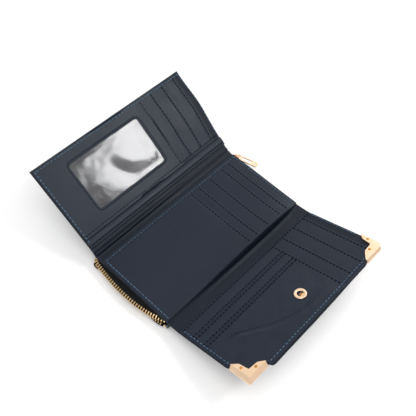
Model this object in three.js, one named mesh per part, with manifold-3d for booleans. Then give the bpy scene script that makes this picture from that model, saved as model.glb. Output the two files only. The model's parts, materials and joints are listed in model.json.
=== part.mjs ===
// Trifold wallet, opened out and lying on its zip pouch. Millimetres, +Z up.
// X runs across the folds and Y along them. The origin is on the underside of
// the pouch, below the middle of the centre section.
import * as THREE from 'three';
import { mergeVertices } from 'three/addons/utils/BufferGeometryUtils.js';
import Module from 'manifold-3d';

const wasm = await Module();
wasm.setup();

// ---------------------------------------------------------------- dimensions
const HALF = 100;               // half the wallet's length along the folds
const GAP = 0.2;                // air left between stacked layers
const LEATHER = 1.3;
const LINING = 0.3;
const BOARD = 0.4;
const PANEL = 0.5;              // pocket leather
const SEAM = 0.3;               // strips that hold the slip pocket's panel up
const LEAF = 0.35;              // one card slot leaf
const LEAF_RISE = 0.75;         // from the layer under the slots to the front pocket
const FOLD_CLEAR = 0.45;        // from a fold line to the leather's edge
const LINING_CLEAR = 0.95;      // from a fold line to the lining's edge

// Zip pouch under the centre section
const POUCH_LEATHER = 1.6;
const POUCH_LEFT = -50;
const POUCH_RIGHT = 51.9;
const POUCH_HALF = 101;
const POUCH_CORNER = 10;
const POUCH_CEILING = 13.2;     // underside of the centre section's leather
const ZIP_RIGHT = 46.6;         // right-hand end of both rows of teeth
const STOPS = [47.6, 49.6];     // the metal stops past the ends of the rows
const ZIP_FAR = 102.3;          // middle of the closed zip on the far side
const ZIP_HEIGHT = 6.5;
const ZIP_HALF_GAP = 0.7;       // from the middle of the closed zip to either row
const TAPE = 0.7;
const TEETH_WIDTH = 2.8;
const TEETH_THICK = 2.4;

// The fold planes are the inner face of the outer leather
const CENTRE_PLANE = POUCH_CEILING + LEATHER;
const LEFT_FOLD = -50;
const RIGHT_FOLD = 52.55;
const LEFT_SPINE = 8;
const RIGHT_SPINE = 14.4;
const LEFT_SPINE_ANGLE = 42;    // above level, in degrees
const LEFT_FLAP_ANGLE = 31.4;
const RIGHT_SPINE_ANGLE = 7;
const RIGHT_FLAP_ANGLE = 17.8;

// Centre section
const CENTRE_LEFT = -42;
const MOUTH = 51.2;             // free edge of the wide slip pocket
const SLIP_RIM = 4;             // stitched rim of the slip pocket
const CENTRE_SLOTS = [26.1, 38.4, 56, 75.3, 87];

// Left flap, measured from its fold line
const LEFT_FLAP = 97.5;
const FOLD_BAND = [1.1, 10.9];
const LEFT_POCKETS = [11.2, 96.5];
const LEFT_SLOTS = [41.5, 57.9, 74, 90.8];
const WINDOW = { inner: 27.6, outer: 81, near: -65.7, far: 25.5, corner: 3 };
const FILM = 0.15;
const FILM_MARGIN = 3;

// Right flap, measured from its fold line
const RIGHT_FLAP = 90.6;
const RIGHT_POCKETS = [1, 89.6];
const STRIP_EDGES = [17.1, 31.4];
const RIGHT_SLOTS = [38.4, 54.1, 72.4, 88.9];

// Closure snap: the socket on the right flap, the stud on the left flap's back
const SNAP_Y = 3.5;
const SOCKET_OUT = 63.4;
const SOCKET_OUTER = 6.3;
const SOCKET_INNER = 3.5;
const SOCKET_HEIGHT = 2.2;
const STUD_OUT = RIGHT_FOLD - SOCKET_OUT - LEFT_FOLD;
const STUD_RADIUS = 2.9;
const STUD_BASE = 5.5;
const STUD_HEIGHT = 2.2;

// Corner caps: the outline as [along, across] from the cap's outer corner
const CAP_OUTLINE = [[0, 0], [25, 0], [28.5, 5.3], [22.3, 11.2], [12.1, 12.1]];
const CAP_WALL = 0.8;
const CAP_RIVET = [18, 8];
const RIVET_RADIUS = 1.3;

// Zip slider and puller
const SLIDER_X = -39.5;
const SLIDER_LENGTH = 9;
const SLIDER_SIDE = 3.4;        // half its width
const SLIDER_PLATE = 1;
const PULLER_Y = 104.7;
const PULLER_LENGTH = 26;
const PULLER_WIDTH = 6.8;
const PULLER_THICK = 1.4;
const PULLER_YAW = 16;

// ------------------------------------------------------------------ materials
const finish = (color, roughness, metalness = 0) =>
  new THREE.MeshStandardMaterial({ color, roughness, metalness });
const NAVY = finish(0x2c3444, 0.55);
const NAVY_POCKET = finish(0x3a4352, 0.5);
const NAVY_LINING = finish(0x262c38, 0.65);
const CLOTH = finish(0x15171c, 0.9);
const TAPE_CLOTH = finish(0x0e0e10, 0.95);
const CARDBOARD = finish(0x6a6258, 0.9);
const GOLD = finish(0xe8c49a, 0.25, 1);
const CLEAR = finish(0xb9b4ac, 0.1);

// -------------------------------------------------------------------- helpers
const radians = THREE.MathUtils.degToRad;

function addPiece(group, name, geometry, material) {
  const mesh = new THREE.Mesh(geometry, material);
  mesh.name = name;
  group.add(mesh);
}

/** Adds a group whose local X and Z are tipped about Y by an angle in degrees. */
function addFold(parent, x, z, degrees) {
  const group = new THREE.Group();
  group.position.set(x, 0, z);
  group.rotation.y = radians(degrees);
  parent.add(group);
  return group;
}

/** A closed outline from [x, y] points. */
function outline(points) {
  return new THREE.Shape(points.map(([x, y]) => new THREE.Vector2(x, y)));
}

function roundedRectangle(x0, x1, y0, y1, radius) {
  const shape = new THREE.Shape();
  const turn = Math.PI / 2;
  shape.moveTo(x0 + radius, y0);
  shape.lineTo(x1 - radius, y0).absarc(x1 - radius, y0 + radius, radius, -turn, 0);
  shape.lineTo(x1, y1 - radius).absarc(x1 - radius, y1 - radius, radius, 0, turn);
  shape.lineTo(x0 + radius, y1).absarc(x0 + radius, y1 - radius, radius, turn, 2 * turn);
  shape.lineTo(x0, y0 + radius).absarc(x0 + radius, y0 + radius, radius, 2 * turn, 3 * turn);
  return shape;
}

/** Extrudes an outline upwards from height z. */
function slab(shape, z, thickness) {
  const geometry = new THREE.ExtrudeGeometry(shape, {
    depth: thickness, bevelEnabled: false, curveSegments: 5,
  });
  return geometry.translate(0, 0, z);
}

/** A flat plate, from x0 to x1 and y0 to y1, standing on height z. */
function plate(x0, x1, y0, y1, z, thickness, radius = 0.6) {
  return slab(roundedRectangle(x0, x1, y0, y1, radius), z, thickness);
}

/** A box with its lowest corner and its highest corner. */
function block([x0, y0, z0], [x1, y1, z1]) {
  const geometry = new THREE.BoxGeometry(x1 - x0, y1 - y0, z1 - z0);
  return geometry.translate((x0 + x1) / 2, (y0 + y1) / 2, (z0 + z1) / 2);
}

/** Turns a profile of [radius, height] points about the Z axis. */
function turned(profile, segments = 28) {
  const points = profile.map(([radius, height]) => new THREE.Vector2(radius, height));
  return new THREE.LatheGeometry(points, segments).rotateX(Math.PI / 2);
}

function toManifold(geometry) {
  const bare = geometry.clone();
  bare.deleteAttribute('normal');
  bare.deleteAttribute('uv');
  const merged = mergeVertices(bare, 1e-4);
  return new wasm.Manifold(new wasm.Mesh({
    numProp: 3,
    vertProperties: new Float32Array(merged.attributes.position.array),
    triVerts: new Uint32Array(merged.index.array),
  }));
}

function toGeometry(manifold) {
  const mesh = manifold.getMesh();
  const geometry = new THREE.BufferGeometry();
  geometry.setAttribute('position', new THREE.BufferAttribute(mesh.vertProperties, 3));
  geometry.setIndex(new THREE.BufferAttribute(mesh.triVerts, 1));
  geometry.computeVertexNormals();
  return geometry;
}

function join(first, ...others) {
  return toGeometry(others.reduce((whole, part) => whole.add(toManifold(part)),
    toManifold(first)));
}

function cut(geometry, ...tools) {
  return toGeometry(tools.reduce((whole, tool) => whole.subtract(toManifold(tool)),
    toManifold(geometry)));
}

/**
 * Card slot leaves behind a front pocket, lying on height z. Each is a thin
 * plate tipped up at its free edge, with its tail tucked under the next.
 */
function addSlotLeaves(group, prefix, [x0, x1], edges, z) {
  const tuck = 5;
  const drop = LEAF * 2;
  for (let i = 1; i < edges.length; i += 1) {
    const length = edges[i] - edges[i - 1] + tuck;
    const leaf = block([x0, -length, 0], [x1, 0, LEAF]);
    leaf.rotateX(Math.asin(drop / length));
    leaf.translate(0, edges[i], z + drop);
    addPiece(group, `${prefix}_${i}`, leaf, NAVY_POCKET);
  }
}

/** A closed strip through equal rings of points, such as a tape or a row of teeth. */
function strip(rings) {
  const index = [];
  const quad = (a, b, c, d) => index.push(a, b, c, a, c, d);
  const count = rings[0].length;
  for (let start = 0; start < count * (rings.length - 1); start += count) {
    for (let k = 0; k < count; k += 1) {
      const next = (k + 1) % count;
      quad(start + k, start + next, start + count + next, start + count + k);
    }
  }
  const last = count * (rings.length - 1);
  for (let k = 0; k + 1 < count / 2; k += 1) {
    const across = count - 1 - k;
    quad(across, across - 1, k + 1, k);
    quad(last + k, last + k + 1, last + across - 1, last + across);
  }
  const geometry = new THREE.BufferGeometry();
  const position = rings.flat().flatMap((point) => point.toArray());
  geometry.setAttribute('position', new THREE.Float32BufferAttribute(position, 3));
  geometry.setIndex(index);
  geometry.computeVertexNormals();
  return geometry;
}

/** The ring round a thin section that runs through some points, square to a path. */
function section(points, tangent, thickness) {
  const sides = points.map((_, i) => {
    const before = points[Math.max(i - 1, 0)];
    const after = points[Math.min(i + 1, points.length - 1)];
    return after.clone().sub(before).cross(tangent).setLength(thickness / 2);
  });
  const top = points.map((point, i) => point.clone().add(sides[i]));
  const bottom = points.map((point, i) => point.clone().sub(sides[i]));
  return [...top, ...bottom.reverse()];
}

// --------------------------------------------------------------- the zip's run
const UP = new THREE.Vector3(0, 0, 1);
const STEPS = [14, 6, 6, 9, 6];         // along each stretch of the rim

/**
 * The U-shaped line round the pouch: from its right-hand end along the near
 * side, which bows outwards, round the left side and back along the far side.
 */
function rimCurves({ left, near, far, corner, bow }) {
  const point = (x, y) => new THREE.Vector3(x, y, 0);
  const pull = 0.55 * corner;
  const bend = left + corner;
  return [
    new THREE.CubicBezierCurve3(point(ZIP_RIGHT, near + bow), point(28, near - 0.8 * bow),
      point(-12, near - 0.9 * bow), point(bend, near)),
    new THREE.CubicBezierCurve3(point(bend, near), point(bend - pull, near),
      point(left, near + corner - pull), point(left, near + corner)),
    new THREE.LineCurve3(point(left, near + corner), point(left, far - corner)),
    new THREE.CubicBezierCurve3(point(left, far - corner), point(left, far - corner + pull),
      point(bend - pull, far), point(bend, far)),
    new THREE.LineCurve3(point(bend, far), point(ZIP_RIGHT, far)),
  ];
}

/** Places along a rim. Progress counts the stretches passed, from 0 to 5. */
function rimStations(rim, height) {
  return rimCurves(rim).flatMap((curve, stretch) => {
    const first = stretch === 0 ? 0 : 1;
    const count = STEPS[stretch];
    return Array.from({ length: count + 1 - first }, (_, i) => {
      const t = (i + first) / count;
      const tangent = curve.getTangent(t);
      const progress = stretch + t;
      return {
        place: curve.getPoint(t).setZ(height(progress)),
        tangent,
        outward: new THREE.Vector3(-tangent.y, tangent.x, 0),
        progress,
      };
    });
  });
}

const mix = THREE.MathUtils.lerp;
const ease = THREE.MathUtils.smoothstep;

/** The direction that is tipped down from a station's outward one. */
function tipped(outward, degrees) {
  const angle = radians(degrees);
  return outward.clone().multiplyScalar(Math.cos(angle)).addScaledVector(UP, -Math.sin(angle));
}

/** The middle of the upper row of teeth. Its teeth point outwards and a little down. */
function upperRow() {
  const rim = {
    left: -52.5, near: -102.6, far: ZIP_FAR - ZIP_HALF_GAP - TEETH_WIDTH / 2, corner: 9,
    bow: 5.2,
  };
  const closed = (progress) => ease(progress, 3.4, 4.1);
  const stations = rimStations(rim, (progress) => mix(9.6, ZIP_HEIGHT, closed(progress)));
  return stations.map((station) => ({
    ...station, toTips: tipped(station.outward, mix(35, 0, closed(station.progress))),
  }));
}

/** The middle of the lower row of teeth, which turns up to meet the upper row. */
function lowerRow() {
  const rim = {
    left: -50.5, near: -102.4, far: ZIP_FAR + ZIP_HALF_GAP + TEETH_WIDTH / 2, corner: 8,
    bow: 2,
  };
  const closed = (progress) => ease(progress, 3.2, 3.95);
  const stations = rimStations(rim, (progress) => mix(4.7, ZIP_HEIGHT, closed(progress)));
  return stations.map((station) => ({
    ...station, toTips: tipped(station.outward, mix(-50, -180, closed(station.progress))),
  }));
}

function teeth(row) {
  return strip(row.map(({ place, toTips, tangent }) => {
    const half = toTips.clone().multiplyScalar(TEETH_WIDTH / 2);
    const points = [place.clone().sub(half), place.clone().add(half)];
    return section(points, tangent, TEETH_THICK);
  }));
}

/**
 * The tape between the pouch's seam and a row of teeth. Where the row is turned
 * in over the pouch, the tape goes out round it by the given amount.
 */
function tape(row, seam, roundOut) {
  const reach = TEETH_WIDTH / 2 + TAPE;
  return strip(row.map(({ place, toTips, tangent, outward, progress }, i) => {
    const root = seam[i].place;
    const edge = place.clone().addScaledVector(toTips, -reach);
    const knee = root.clone().lerp(edge, 0.5);
    const round = place.clone().addScaledVector(outward, roundOut);
    round.z = (root.z + edge.z) / 2;
    if (roundOut > 0) knee.lerp(round, ease(progress, 3, 3.9));
    return section([root, knee, edge], tangent, TAPE);
  }));
}

// -------------------------------------------------------------------- sections
/** The pouch's back, which lies on the table and carries everything else. */
function addPouchBack(parent) {
  const back = plate(POUCH_LEFT, POUCH_RIGHT, -POUCH_HALF, POUCH_HALF, 0, POUCH_LEATHER,
    POUCH_CORNER);
  addPiece(parent, 'pouch_back_leather', back, NAVY);
  const lining = plate(POUCH_LEFT + 4, POUCH_RIGHT - 3, 4 - POUCH_HALF, POUCH_HALF - 4,
    POUCH_LEATHER + GAP, LINING, POUCH_CORNER);
  addPiece(parent, 'pouch_back_lining', lining, CLOTH);
  const spine = block([POUCH_RIGHT - LEATHER, -HALF, POUCH_LEATHER + GAP],
    [POUCH_RIGHT, HALF, POUCH_CEILING - 0.6]);
  addPiece(parent, 'pouch_spine', spine, NAVY);

  const row = lowerRow();
  const seamRim = { left: -48.6, near: -99.6, far: 99.6, corner: 9, bow: 0.6 };
  const seam = rimStations(seamRim, () => POUCH_LEATHER + GAP + TAPE);
  addPiece(parent, 'zip_teeth_lower', teeth(row), GOLD);
  addPiece(parent, 'zip_tape_lower', tape(row, seam, 3.2), TAPE_CLOTH);
  addStop(parent, 'zip_top_stop_lower', row[0].place);
  const end = row[row.length - 1].place;
  const bottomStop = block([STOPS[0], end.y - 5.6, end.z - 1], [STOPS[1], end.y + 1.4, end.z + 1]);
  addPiece(parent, 'zip_bottom_stop', bottomStop, GOLD);
}

/** A small metal stop just past the end of a row of teeth. */
function addStop(parent, name, place) {
  const half = 1;
  const stop = block([STOPS[0], place.y - half, place.z - half],
    [STOPS[1], place.y + half, place.z + half]);
  addPiece(parent, name, stop, GOLD);
}

/** The upper half of the pouch, under the centre section's leather. */
function addPouchCeiling(parent) {
  const board = plate(-46, 49, -96, 96, POUCH_CEILING - GAP - BOARD, BOARD, 3);
  addPiece(parent, 'centre_board', board, CARDBOARD);
  const cloth = plate(-46, 49, -96, 96, POUCH_CEILING - 2 * GAP - BOARD - LINING, LINING, 3);
  addPiece(parent, 'pouch_ceiling_lining', cloth, CLOTH);

  const row = upperRow();
  const seamRim = { left: -47.5, near: -98.3, far: 98.3, corner: 8, bow: 0.6 };
  const seam = rimStations(seamRim, () => POUCH_CEILING - GAP - TAPE / 2);
  addPiece(parent, 'zip_teeth_upper', teeth(row), GOLD);
  addPiece(parent, 'zip_tape_upper', tape(row, seam, 0), TAPE_CLOTH);
  addStop(parent, 'zip_top_stop_upper', row[0].place);
}

/** The wide slip pocket: a panel on three seam strips, open along its right edge. */
function addSlipPocket(parent, z) {
  const inner = SLIP_RIM + GAP;
  const strips = {
    centre_seam_left: [CENTRE_LEFT, CENTRE_LEFT + SLIP_RIM, inner - HALF, HALF - inner],
    centre_seam_near: [CENTRE_LEFT, MOUTH, -HALF, SLIP_RIM - HALF],
    centre_seam_far: [CENTRE_LEFT, MOUTH, HALF - SLIP_RIM, HALF],
  };
  for (const [name, sides] of Object.entries(strips)) {
    addPiece(parent, name, plate(...sides, z, SEAM), NAVY_LINING);
  }
  const panel = plate(CENTRE_LEFT, MOUTH, -HALF, HALF, z + SEAM + GAP, PANEL);
  addPiece(parent, 'centre_slip_pocket', panel, NAVY_POCKET);
}

function addCentre(parent) {
  const leather = plate(LEFT_FOLD + FOLD_CLEAR, RIGHT_FOLD - GAP, -HALF, HALF,
    POUCH_CEILING, LEATHER);
  addPiece(parent, 'centre_leather', leather, NAVY);
  let z = CENTRE_PLANE + GAP;
  const lining = plate(LEFT_FOLD + LINING_CLEAR, RIGHT_FOLD - LINING_CLEAR, -HALF, HALF,
    z, LINING);
  addPiece(parent, 'centre_lining', lining, NAVY_LINING);
  z += LINING + GAP;
  addSlipPocket(parent, z);
  z += SEAM + PANEL + 2 * GAP;
  const across = [CENTRE_LEFT + 0.5, MOUTH - 0.5];
  addSlotLeaves(parent, 'centre_card_slot', across, CENTRE_SLOTS, z);
  const front = plate(...across, 0.5 - HALF, CENTRE_SLOTS[0], z + LEAF_RISE, PANEL);
  addPiece(parent, 'centre_front_pocket', front, NAVY_POCKET);
}

/** A narrow band of leather and lining between two fold lines. */
function addSpine(group, side, width, direction) {
  const across = (clear) => [direction * clear, direction * (width - clear)].sort((a, b) => a - b);
  const leather = plate(...across(FOLD_CLEAR), -HALF, HALF, -LEATHER, LEATHER, 0.3);
  addPiece(group, `${side}_spine_leather`, leather, NAVY);
  const lining = plate(...across(LINING_CLEAR), -HALF, HALF, GAP, LINING, 0.3);
  addPiece(group, `${side}_spine_lining`, lining, NAVY_LINING);
}

/** The left flap: an identity window, card slots, and the closure's stud behind. */
function addLeftFlap(group) {
  const leather = plate(-LEFT_FLAP, -FOLD_CLEAR, -HALF, HALF, -LEATHER, LEATHER, 2);
  addPiece(group, 'left_leather', leather, NAVY);
  let z = GAP;
  const board = plate(1.5 - LEFT_FLAP, -LINING_CLEAR - 2, 2 - HALF, HALF - 2, z, BOARD, 2);
  addPiece(group, 'left_board', board, CARDBOARD);
  z += BOARD + GAP;
  const lining = plate(0.5 - LEFT_FLAP, -LINING_CLEAR, 0.5 - HALF, HALF - 0.5, z, LINING, 2);
  addPiece(group, 'left_lining', lining, NAVY_LINING);
  z += LINING + GAP;
  const band = plate(-FOLD_BAND[1], -FOLD_BAND[0], 0.5 - HALF, HALF - 0.5, z, LEAF_RISE);
  addPiece(group, 'left_fold_band', band, NAVY_POCKET);

  const across = [-LEFT_POCKETS[1], -LEFT_POCKETS[0]];
  addSlotLeaves(group, 'left_card_slot', across, LEFT_SLOTS, z);
  const hole = plate(-WINDOW.outer, -WINDOW.inner, WINDOW.near, WINDOW.far, 0, 5, WINDOW.corner);
  const front = plate(...across, 1 - HALF, LEFT_SLOTS[0], z + LEAF_RISE, PANEL, 1);
  addPiece(group, 'left_window_panel', cut(front, hole), NAVY_POCKET);
  const film = plate(-WINDOW.outer - FILM_MARGIN, FILM_MARGIN - WINDOW.inner,
    WINDOW.near - FILM_MARGIN, WINDOW.far + FILM_MARGIN, z + LEAF_RISE - GAP - FILM, FILM, 4);
  addPiece(group, 'left_window_film', film, CLEAR);

  const top = -LEATHER - GAP;
  const stud = turned([[0, 0], [STUD_BASE, 0], [STUD_BASE, -0.3], [STUD_RADIUS, -0.3],
    [STUD_RADIUS, -STUD_HEIGHT + 0.4], [STUD_RADIUS - 0.4, -STUD_HEIGHT], [0, -STUD_HEIGHT]]
    .reverse());
  addPiece(group, 'snap_stud', stud.translate(-STUD_OUT, SNAP_Y, top), GOLD);
}

/** The right flap: slip pockets, card slots, the closure's socket and corner caps. */
function addRightFlap(group) {
  const leather = plate(FOLD_CLEAR, RIGHT_FLAP, -HALF, HALF, -LEATHER, LEATHER, 2);
  addPiece(group, 'right_leather', leather, NAVY);
  let z = GAP;
  const lining = plate(LINING_CLEAR, RIGHT_FLAP - 0.5, 0.5 - HALF, HALF - 0.5, z, LINING, 2);
  addPiece(group, 'right_lining', lining, NAVY_LINING);
  z += LINING + GAP;
  addSlotLeaves(group, 'right_card_slot', RIGHT_POCKETS, RIGHT_SLOTS, z);
  const top = z + LEAF_RISE + PANEL;
  const near = 0.5 - HALF;
  const far = RIGHT_SLOTS[0];
  const fronts = {
    right_strip_pocket_inner: [RIGHT_POCKETS[0], STRIP_EDGES[0]],
    right_strip_pocket_outer: [STRIP_EDGES[0] + GAP, STRIP_EDGES[1]],
    right_snap_panel: [STRIP_EDGES[1] + GAP, RIGHT_POCKETS[1]],
  };
  for (const [name, [x0, x1]] of Object.entries(fronts)) {
    addPiece(group, name, plate(x0, x1, near, far, top - PANEL, PANEL), NAVY_POCKET);
  }
  addSocket(group, top + GAP);
  for (const side of [-1, 1]) addCornerCap(group, side, top);
}

/** The closure's ring-shaped socket inside the flap and its domed cap outside. */
function addSocket(group, z) {
  const ring = turned([[SOCKET_INNER, 0], [SOCKET_OUTER, 0],
    [SOCKET_OUTER, SOCKET_HEIGHT - 0.8], [SOCKET_OUTER - 0.7, SOCKET_HEIGHT],
    [SOCKET_INNER + 0.7, SOCKET_HEIGHT], [SOCKET_INNER, SOCKET_HEIGHT - 0.7],
    [SOCKET_INNER, 0]]);
  addPiece(group, 'snap_socket', ring.translate(SOCKET_OUT, SNAP_Y, z), GOLD);
  const dome = turned([[0, -1.5], [3.4, -1.3], [5.6, -0.8], [6.4, 0], [0, 0]]);
  addPiece(group, 'snap_outer_cap', dome.translate(SOCKET_OUT, SNAP_Y, -LEATHER - GAP), GOLD);
}

/** A folded metal cap over one outer corner of the right flap, with two rivets. */
function addCornerCap(group, side, top) {
  const cornerX = RIGHT_FLAP + GAP + CAP_WALL;
  const cornerY = HALF + GAP + CAP_WALL;
  const place = (along, across) => [cornerX - along, side * (cornerY - across)];
  const mirrored = CAP_OUTLINE.slice(1, -1).reverse().map(([along, across]) => [across, along]);
  const points = [...CAP_OUTLINE, ...mirrored].map(([along, across]) => place(along, across));
  const bottom = -LEATHER - GAP - CAP_WALL;
  const height = top + GAP + CAP_WALL - bottom;
  const corner = place(CAP_WALL, CAP_WALL);
  const slot = block(
    [corner[0] - 60, Math.min(corner[1], corner[1] - side * 60), bottom + CAP_WALL],
    [corner[0], Math.max(corner[1], corner[1] - side * 60), bottom + height - CAP_WALL]);
  const label = side < 0 ? 'near' : 'far';
  addPiece(group, `corner_cap_${label}`, cut(slab(outline(points), bottom, height), slot), GOLD);
  [CAP_RIVET, [...CAP_RIVET].reverse()].forEach(([along, across], i) => {
    const [x, y] = place(along, across);
    const head = turned([[0, 0], [RIVET_RADIUS, 0], [0.8 * RIVET_RADIUS, 0.35], [0, 0.5]], 14);
    head.translate(x, y, bottom + height + GAP);
    addPiece(group, `cap_rivet_${label}_${i + 1}`, head, GOLD);
  });
}

/** The slider: a top plate with a bail, a post between the rows and a lower plate. */
function addSlider(parent) {
  const z = ZIP_HEIGHT + TEETH_THICK / 2 + 0.3;
  const low = ZIP_HEIGHT - TEETH_THICK / 2 - 0.3;
  const half = SLIDER_LENGTH / 2;
  const topPlate = plate(-half, half, 0.4 - SLIDER_SIDE, SLIDER_SIDE, z, SLIDER_PLATE, 2);
  const post = block([1.5, -0.4, low - 0.5], [3, 0.4, z + 0.5]);
  const lowerPlate = block([-half, -SLIDER_SIDE, low - SLIDER_PLATE], [half, 0.4, low]);
  const bailY = PULLER_Y - ZIP_FAR;
  const arch = block([-3, bailY - 0.8, z + 0.5], [3, bailY + 0.8, z + 4.3]);
  const archway = block([-2.1, bailY - 2, z + SLIDER_PLATE], [2.1, bailY + 2, z + 3.4]);
  const slider = join(topPlate, post, lowerPlate, cut(arch, archway));
  addPiece(parent, 'zip_slider', slider.translate(SLIDER_X, ZIP_FAR, 0), GOLD);
}

/** The puller: a flat loop with a hinge bar under the slider's bail. */
function addPuller(parent) {
  const shape = roundedRectangle(-0.6, PULLER_LENGTH, -PULLER_WIDTH / 2, PULLER_WIDTH / 2, 2.2);
  const eye = roundedRectangle(0.6, 4.6, -2.3, 2.3, 0.5);
  const opening = roundedRectangle(6.6, 18.5, -2.1, 2.1, 1);
  const hole = roundedRectangle(22, 24.4, -1.2, 1.2, 1.1);
  const height = PULLER_THICK / 2;
  const hollows = [eye, opening, hole].map((shapeCut) => slab(shapeCut, -5, 10));
  const puller = cut(slab(shape, -height, PULLER_THICK), ...hollows);
  puller.rotateZ(radians(PULLER_YAW));
  const barHeight = ZIP_HEIGHT + TEETH_THICK / 2 + 0.3 + SLIDER_PLATE + 1.2;
  addPiece(parent, 'zip_puller', puller.translate(SLIDER_X, PULLER_Y, barHeight), GOLD);
}

// -------------------------------------------------------------------- assembly
const wallet = new THREE.Group();
addPouchBack(wallet);
addPouchCeiling(wallet);
addCentre(wallet);
addSlider(wallet);
addPuller(wallet);

const leftSpine = addFold(wallet, LEFT_FOLD, CENTRE_PLANE, LEFT_SPINE_ANGLE);
addSpine(leftSpine, 'left', LEFT_SPINE, -1);
addLeftFlap(addFold(leftSpine, -LEFT_SPINE, 0, LEFT_FLAP_ANGLE - LEFT_SPINE_ANGLE));

const rightSpine = addFold(wallet, RIGHT_FOLD, CENTRE_PLANE, -RIGHT_SPINE_ANGLE);
addSpine(rightSpine, 'right', RIGHT_SPINE, 1);
addRightFlap(addFold(rightSpine, RIGHT_SPINE, 0, RIGHT_SPINE_ANGLE - RIGHT_FLAP_ANGLE));

export default wallet;
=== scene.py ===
"""
Trifold wallet, opened out on its zip pouch. Lengths are in millimetres until a mesh is made.
"""

import json
import math
import random

import bpy
import numpy as np
from mathutils import Matrix, Vector, noise

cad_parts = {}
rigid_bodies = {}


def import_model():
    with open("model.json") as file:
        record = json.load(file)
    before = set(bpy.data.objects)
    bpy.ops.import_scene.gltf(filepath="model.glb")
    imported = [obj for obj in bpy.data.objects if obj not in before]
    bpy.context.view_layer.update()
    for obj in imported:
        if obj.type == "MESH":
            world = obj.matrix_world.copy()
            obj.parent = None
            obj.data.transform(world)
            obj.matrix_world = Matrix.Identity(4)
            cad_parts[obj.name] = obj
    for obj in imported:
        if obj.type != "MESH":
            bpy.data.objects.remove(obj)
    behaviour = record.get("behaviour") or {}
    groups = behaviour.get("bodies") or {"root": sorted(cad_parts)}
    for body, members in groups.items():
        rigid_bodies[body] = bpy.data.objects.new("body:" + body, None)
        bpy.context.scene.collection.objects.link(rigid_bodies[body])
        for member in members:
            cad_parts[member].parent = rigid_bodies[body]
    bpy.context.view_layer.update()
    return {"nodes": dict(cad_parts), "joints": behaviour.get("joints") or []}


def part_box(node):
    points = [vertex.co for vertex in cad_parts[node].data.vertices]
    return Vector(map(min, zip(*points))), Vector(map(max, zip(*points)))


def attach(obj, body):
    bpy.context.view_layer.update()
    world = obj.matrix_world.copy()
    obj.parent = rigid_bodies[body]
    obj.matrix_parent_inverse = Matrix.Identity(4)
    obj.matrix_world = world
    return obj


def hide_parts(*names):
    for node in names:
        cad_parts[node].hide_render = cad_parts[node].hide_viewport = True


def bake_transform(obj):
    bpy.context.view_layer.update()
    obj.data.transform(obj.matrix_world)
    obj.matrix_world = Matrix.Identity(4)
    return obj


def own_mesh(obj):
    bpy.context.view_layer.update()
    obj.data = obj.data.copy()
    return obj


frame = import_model()

MM = 0.001

# ------------------------------------------------------------------ dimensions
HALF = 100.0                    # half the wallet's length along the folds
PLANE = 14.5                    # inner face of the centre section's outer leather
OUTER = 1.3                     # outer leather
LEFT_WIDTH = 97.5
RIGHT_WIDTH = 90.6
THREAD = 1.0                    # width of a stitch
PITCH = 4.2                     # from stitch to stitch
SEAM_INSET = 2.2                # from a pocket's edge to its stitches
LEFT_SEAM = 14.6                # the long seam beside the left flap's fold band
LEFT_RIM = 94.0                 # the stitches along the left flap's free edge
CENTRE_SLOTS = [26.1, 38.4, 56.0, 75.3, 87.0]
LEFT_SLOTS = [41.5, 57.9, 74.0, 90.8]
RIGHT_SLOTS = [38.4, 54.1, 72.4, 88.9]
WINDOW = (27.6, 81.0, -65.7, 25.5)
STRIP_EDGES = (17.1, 31.4)
SOCKET = (63.4, 3.5)


# -------------------------------------------------------- places on the wallet
def joint_place(name):
    joint = next(j for j in frame["joints"] if j["name"] == name)
    return np.array(joint["pos_m"]) / MM


def tilt_of(node):
    """How far a flat CAD node is tipped about Y, in radians."""
    points = np.array([v.co for v in frame["nodes"][node].data.vertices])[:, (0, 2)]
    spread = np.linalg.svd(points - points.mean(0), full_matrices=False)[2][0]
    return math.atan(spread[1] / spread[0])


class Side:
    """A flat section: u runs out from its fold, v along the fold and h up from its leather."""

    def __init__(self, body, origin, angle, outward, spread=None):
        self.body = body
        self.spread = spread
        self.origin = np.array([origin[0], 0.0, origin[2]])
        self.out = np.array([outward * math.cos(angle), 0.0, math.sin(angle)])
        self.up = np.array([-outward * math.sin(angle), 0.0, math.cos(angle)])
        self.outward = outward

    def at(self, u, v, h):
        u, v, h = np.broadcast_arrays(*(np.asarray(a, float) for a in (u, v, h)))
        if self.spread:
            u, v = self.spread(u, v)
        along = np.array([0.0, 1.0, 0.0])
        return (self.origin + u[..., None] * self.out + v[..., None] * along
                + h[..., None] * self.up)


def smooth(x, low, high):
    """Rises from 0 at low to 1 at high, level at both ends."""
    t = np.clip((x - low) / (high - low), 0, 1)
    return t * t * (3 - 2 * t)


def left_spread(u, v):
    """The left flap has spread a little towards its free edge, more at the far side."""
    share = np.clip(u / LEFT_WIDTH, 0, 1.1)
    bow = 2.2 * np.sin(math.pi * smooth(share, 0.08, 0.98)) * smooth(v, 40, 100)
    return u + 1.4 * share, v + share * (1.5 + 0.032 * v) + bow


def right_spread(u, v):
    """
    The right flap has spread too. Its free edge stands out between its caps and is
    squeezed in under them.
    """
    share = np.clip(u / RIGHT_WIDTH, 0, 1.1)
    between_caps = (1 - smooth(np.abs(v), 70, 76)) * (1 - 0.35 * smooth(v, 0, 60))
    far_corner = 3.0 * smooth(u, 82, 90) * smooth(v, 88, 99)
    tucked_u = 5.4 * smooth(u, 80, 90) * smooth(-v, 72, 76) + far_corner
    tucked_v = 4.6 * smooth(-v, 88, 99) * smooth(u, 62, 66) - far_corner
    return (u + 2.8 * share ** 6 * between_caps - tucked_u,
            v + share * (1.0 + 0.016 * v) + tucked_v + 1.2 * share * smooth(v, 70, 100))


def mouth_opening(v):
    """How far the slip pocket's mouth has opened along the fold, as a share."""
    along = np.clip((v + 97.0) / 194.0, 0, 1)
    return np.sin(math.pi * along ** 1.9) ** 0.9


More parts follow.
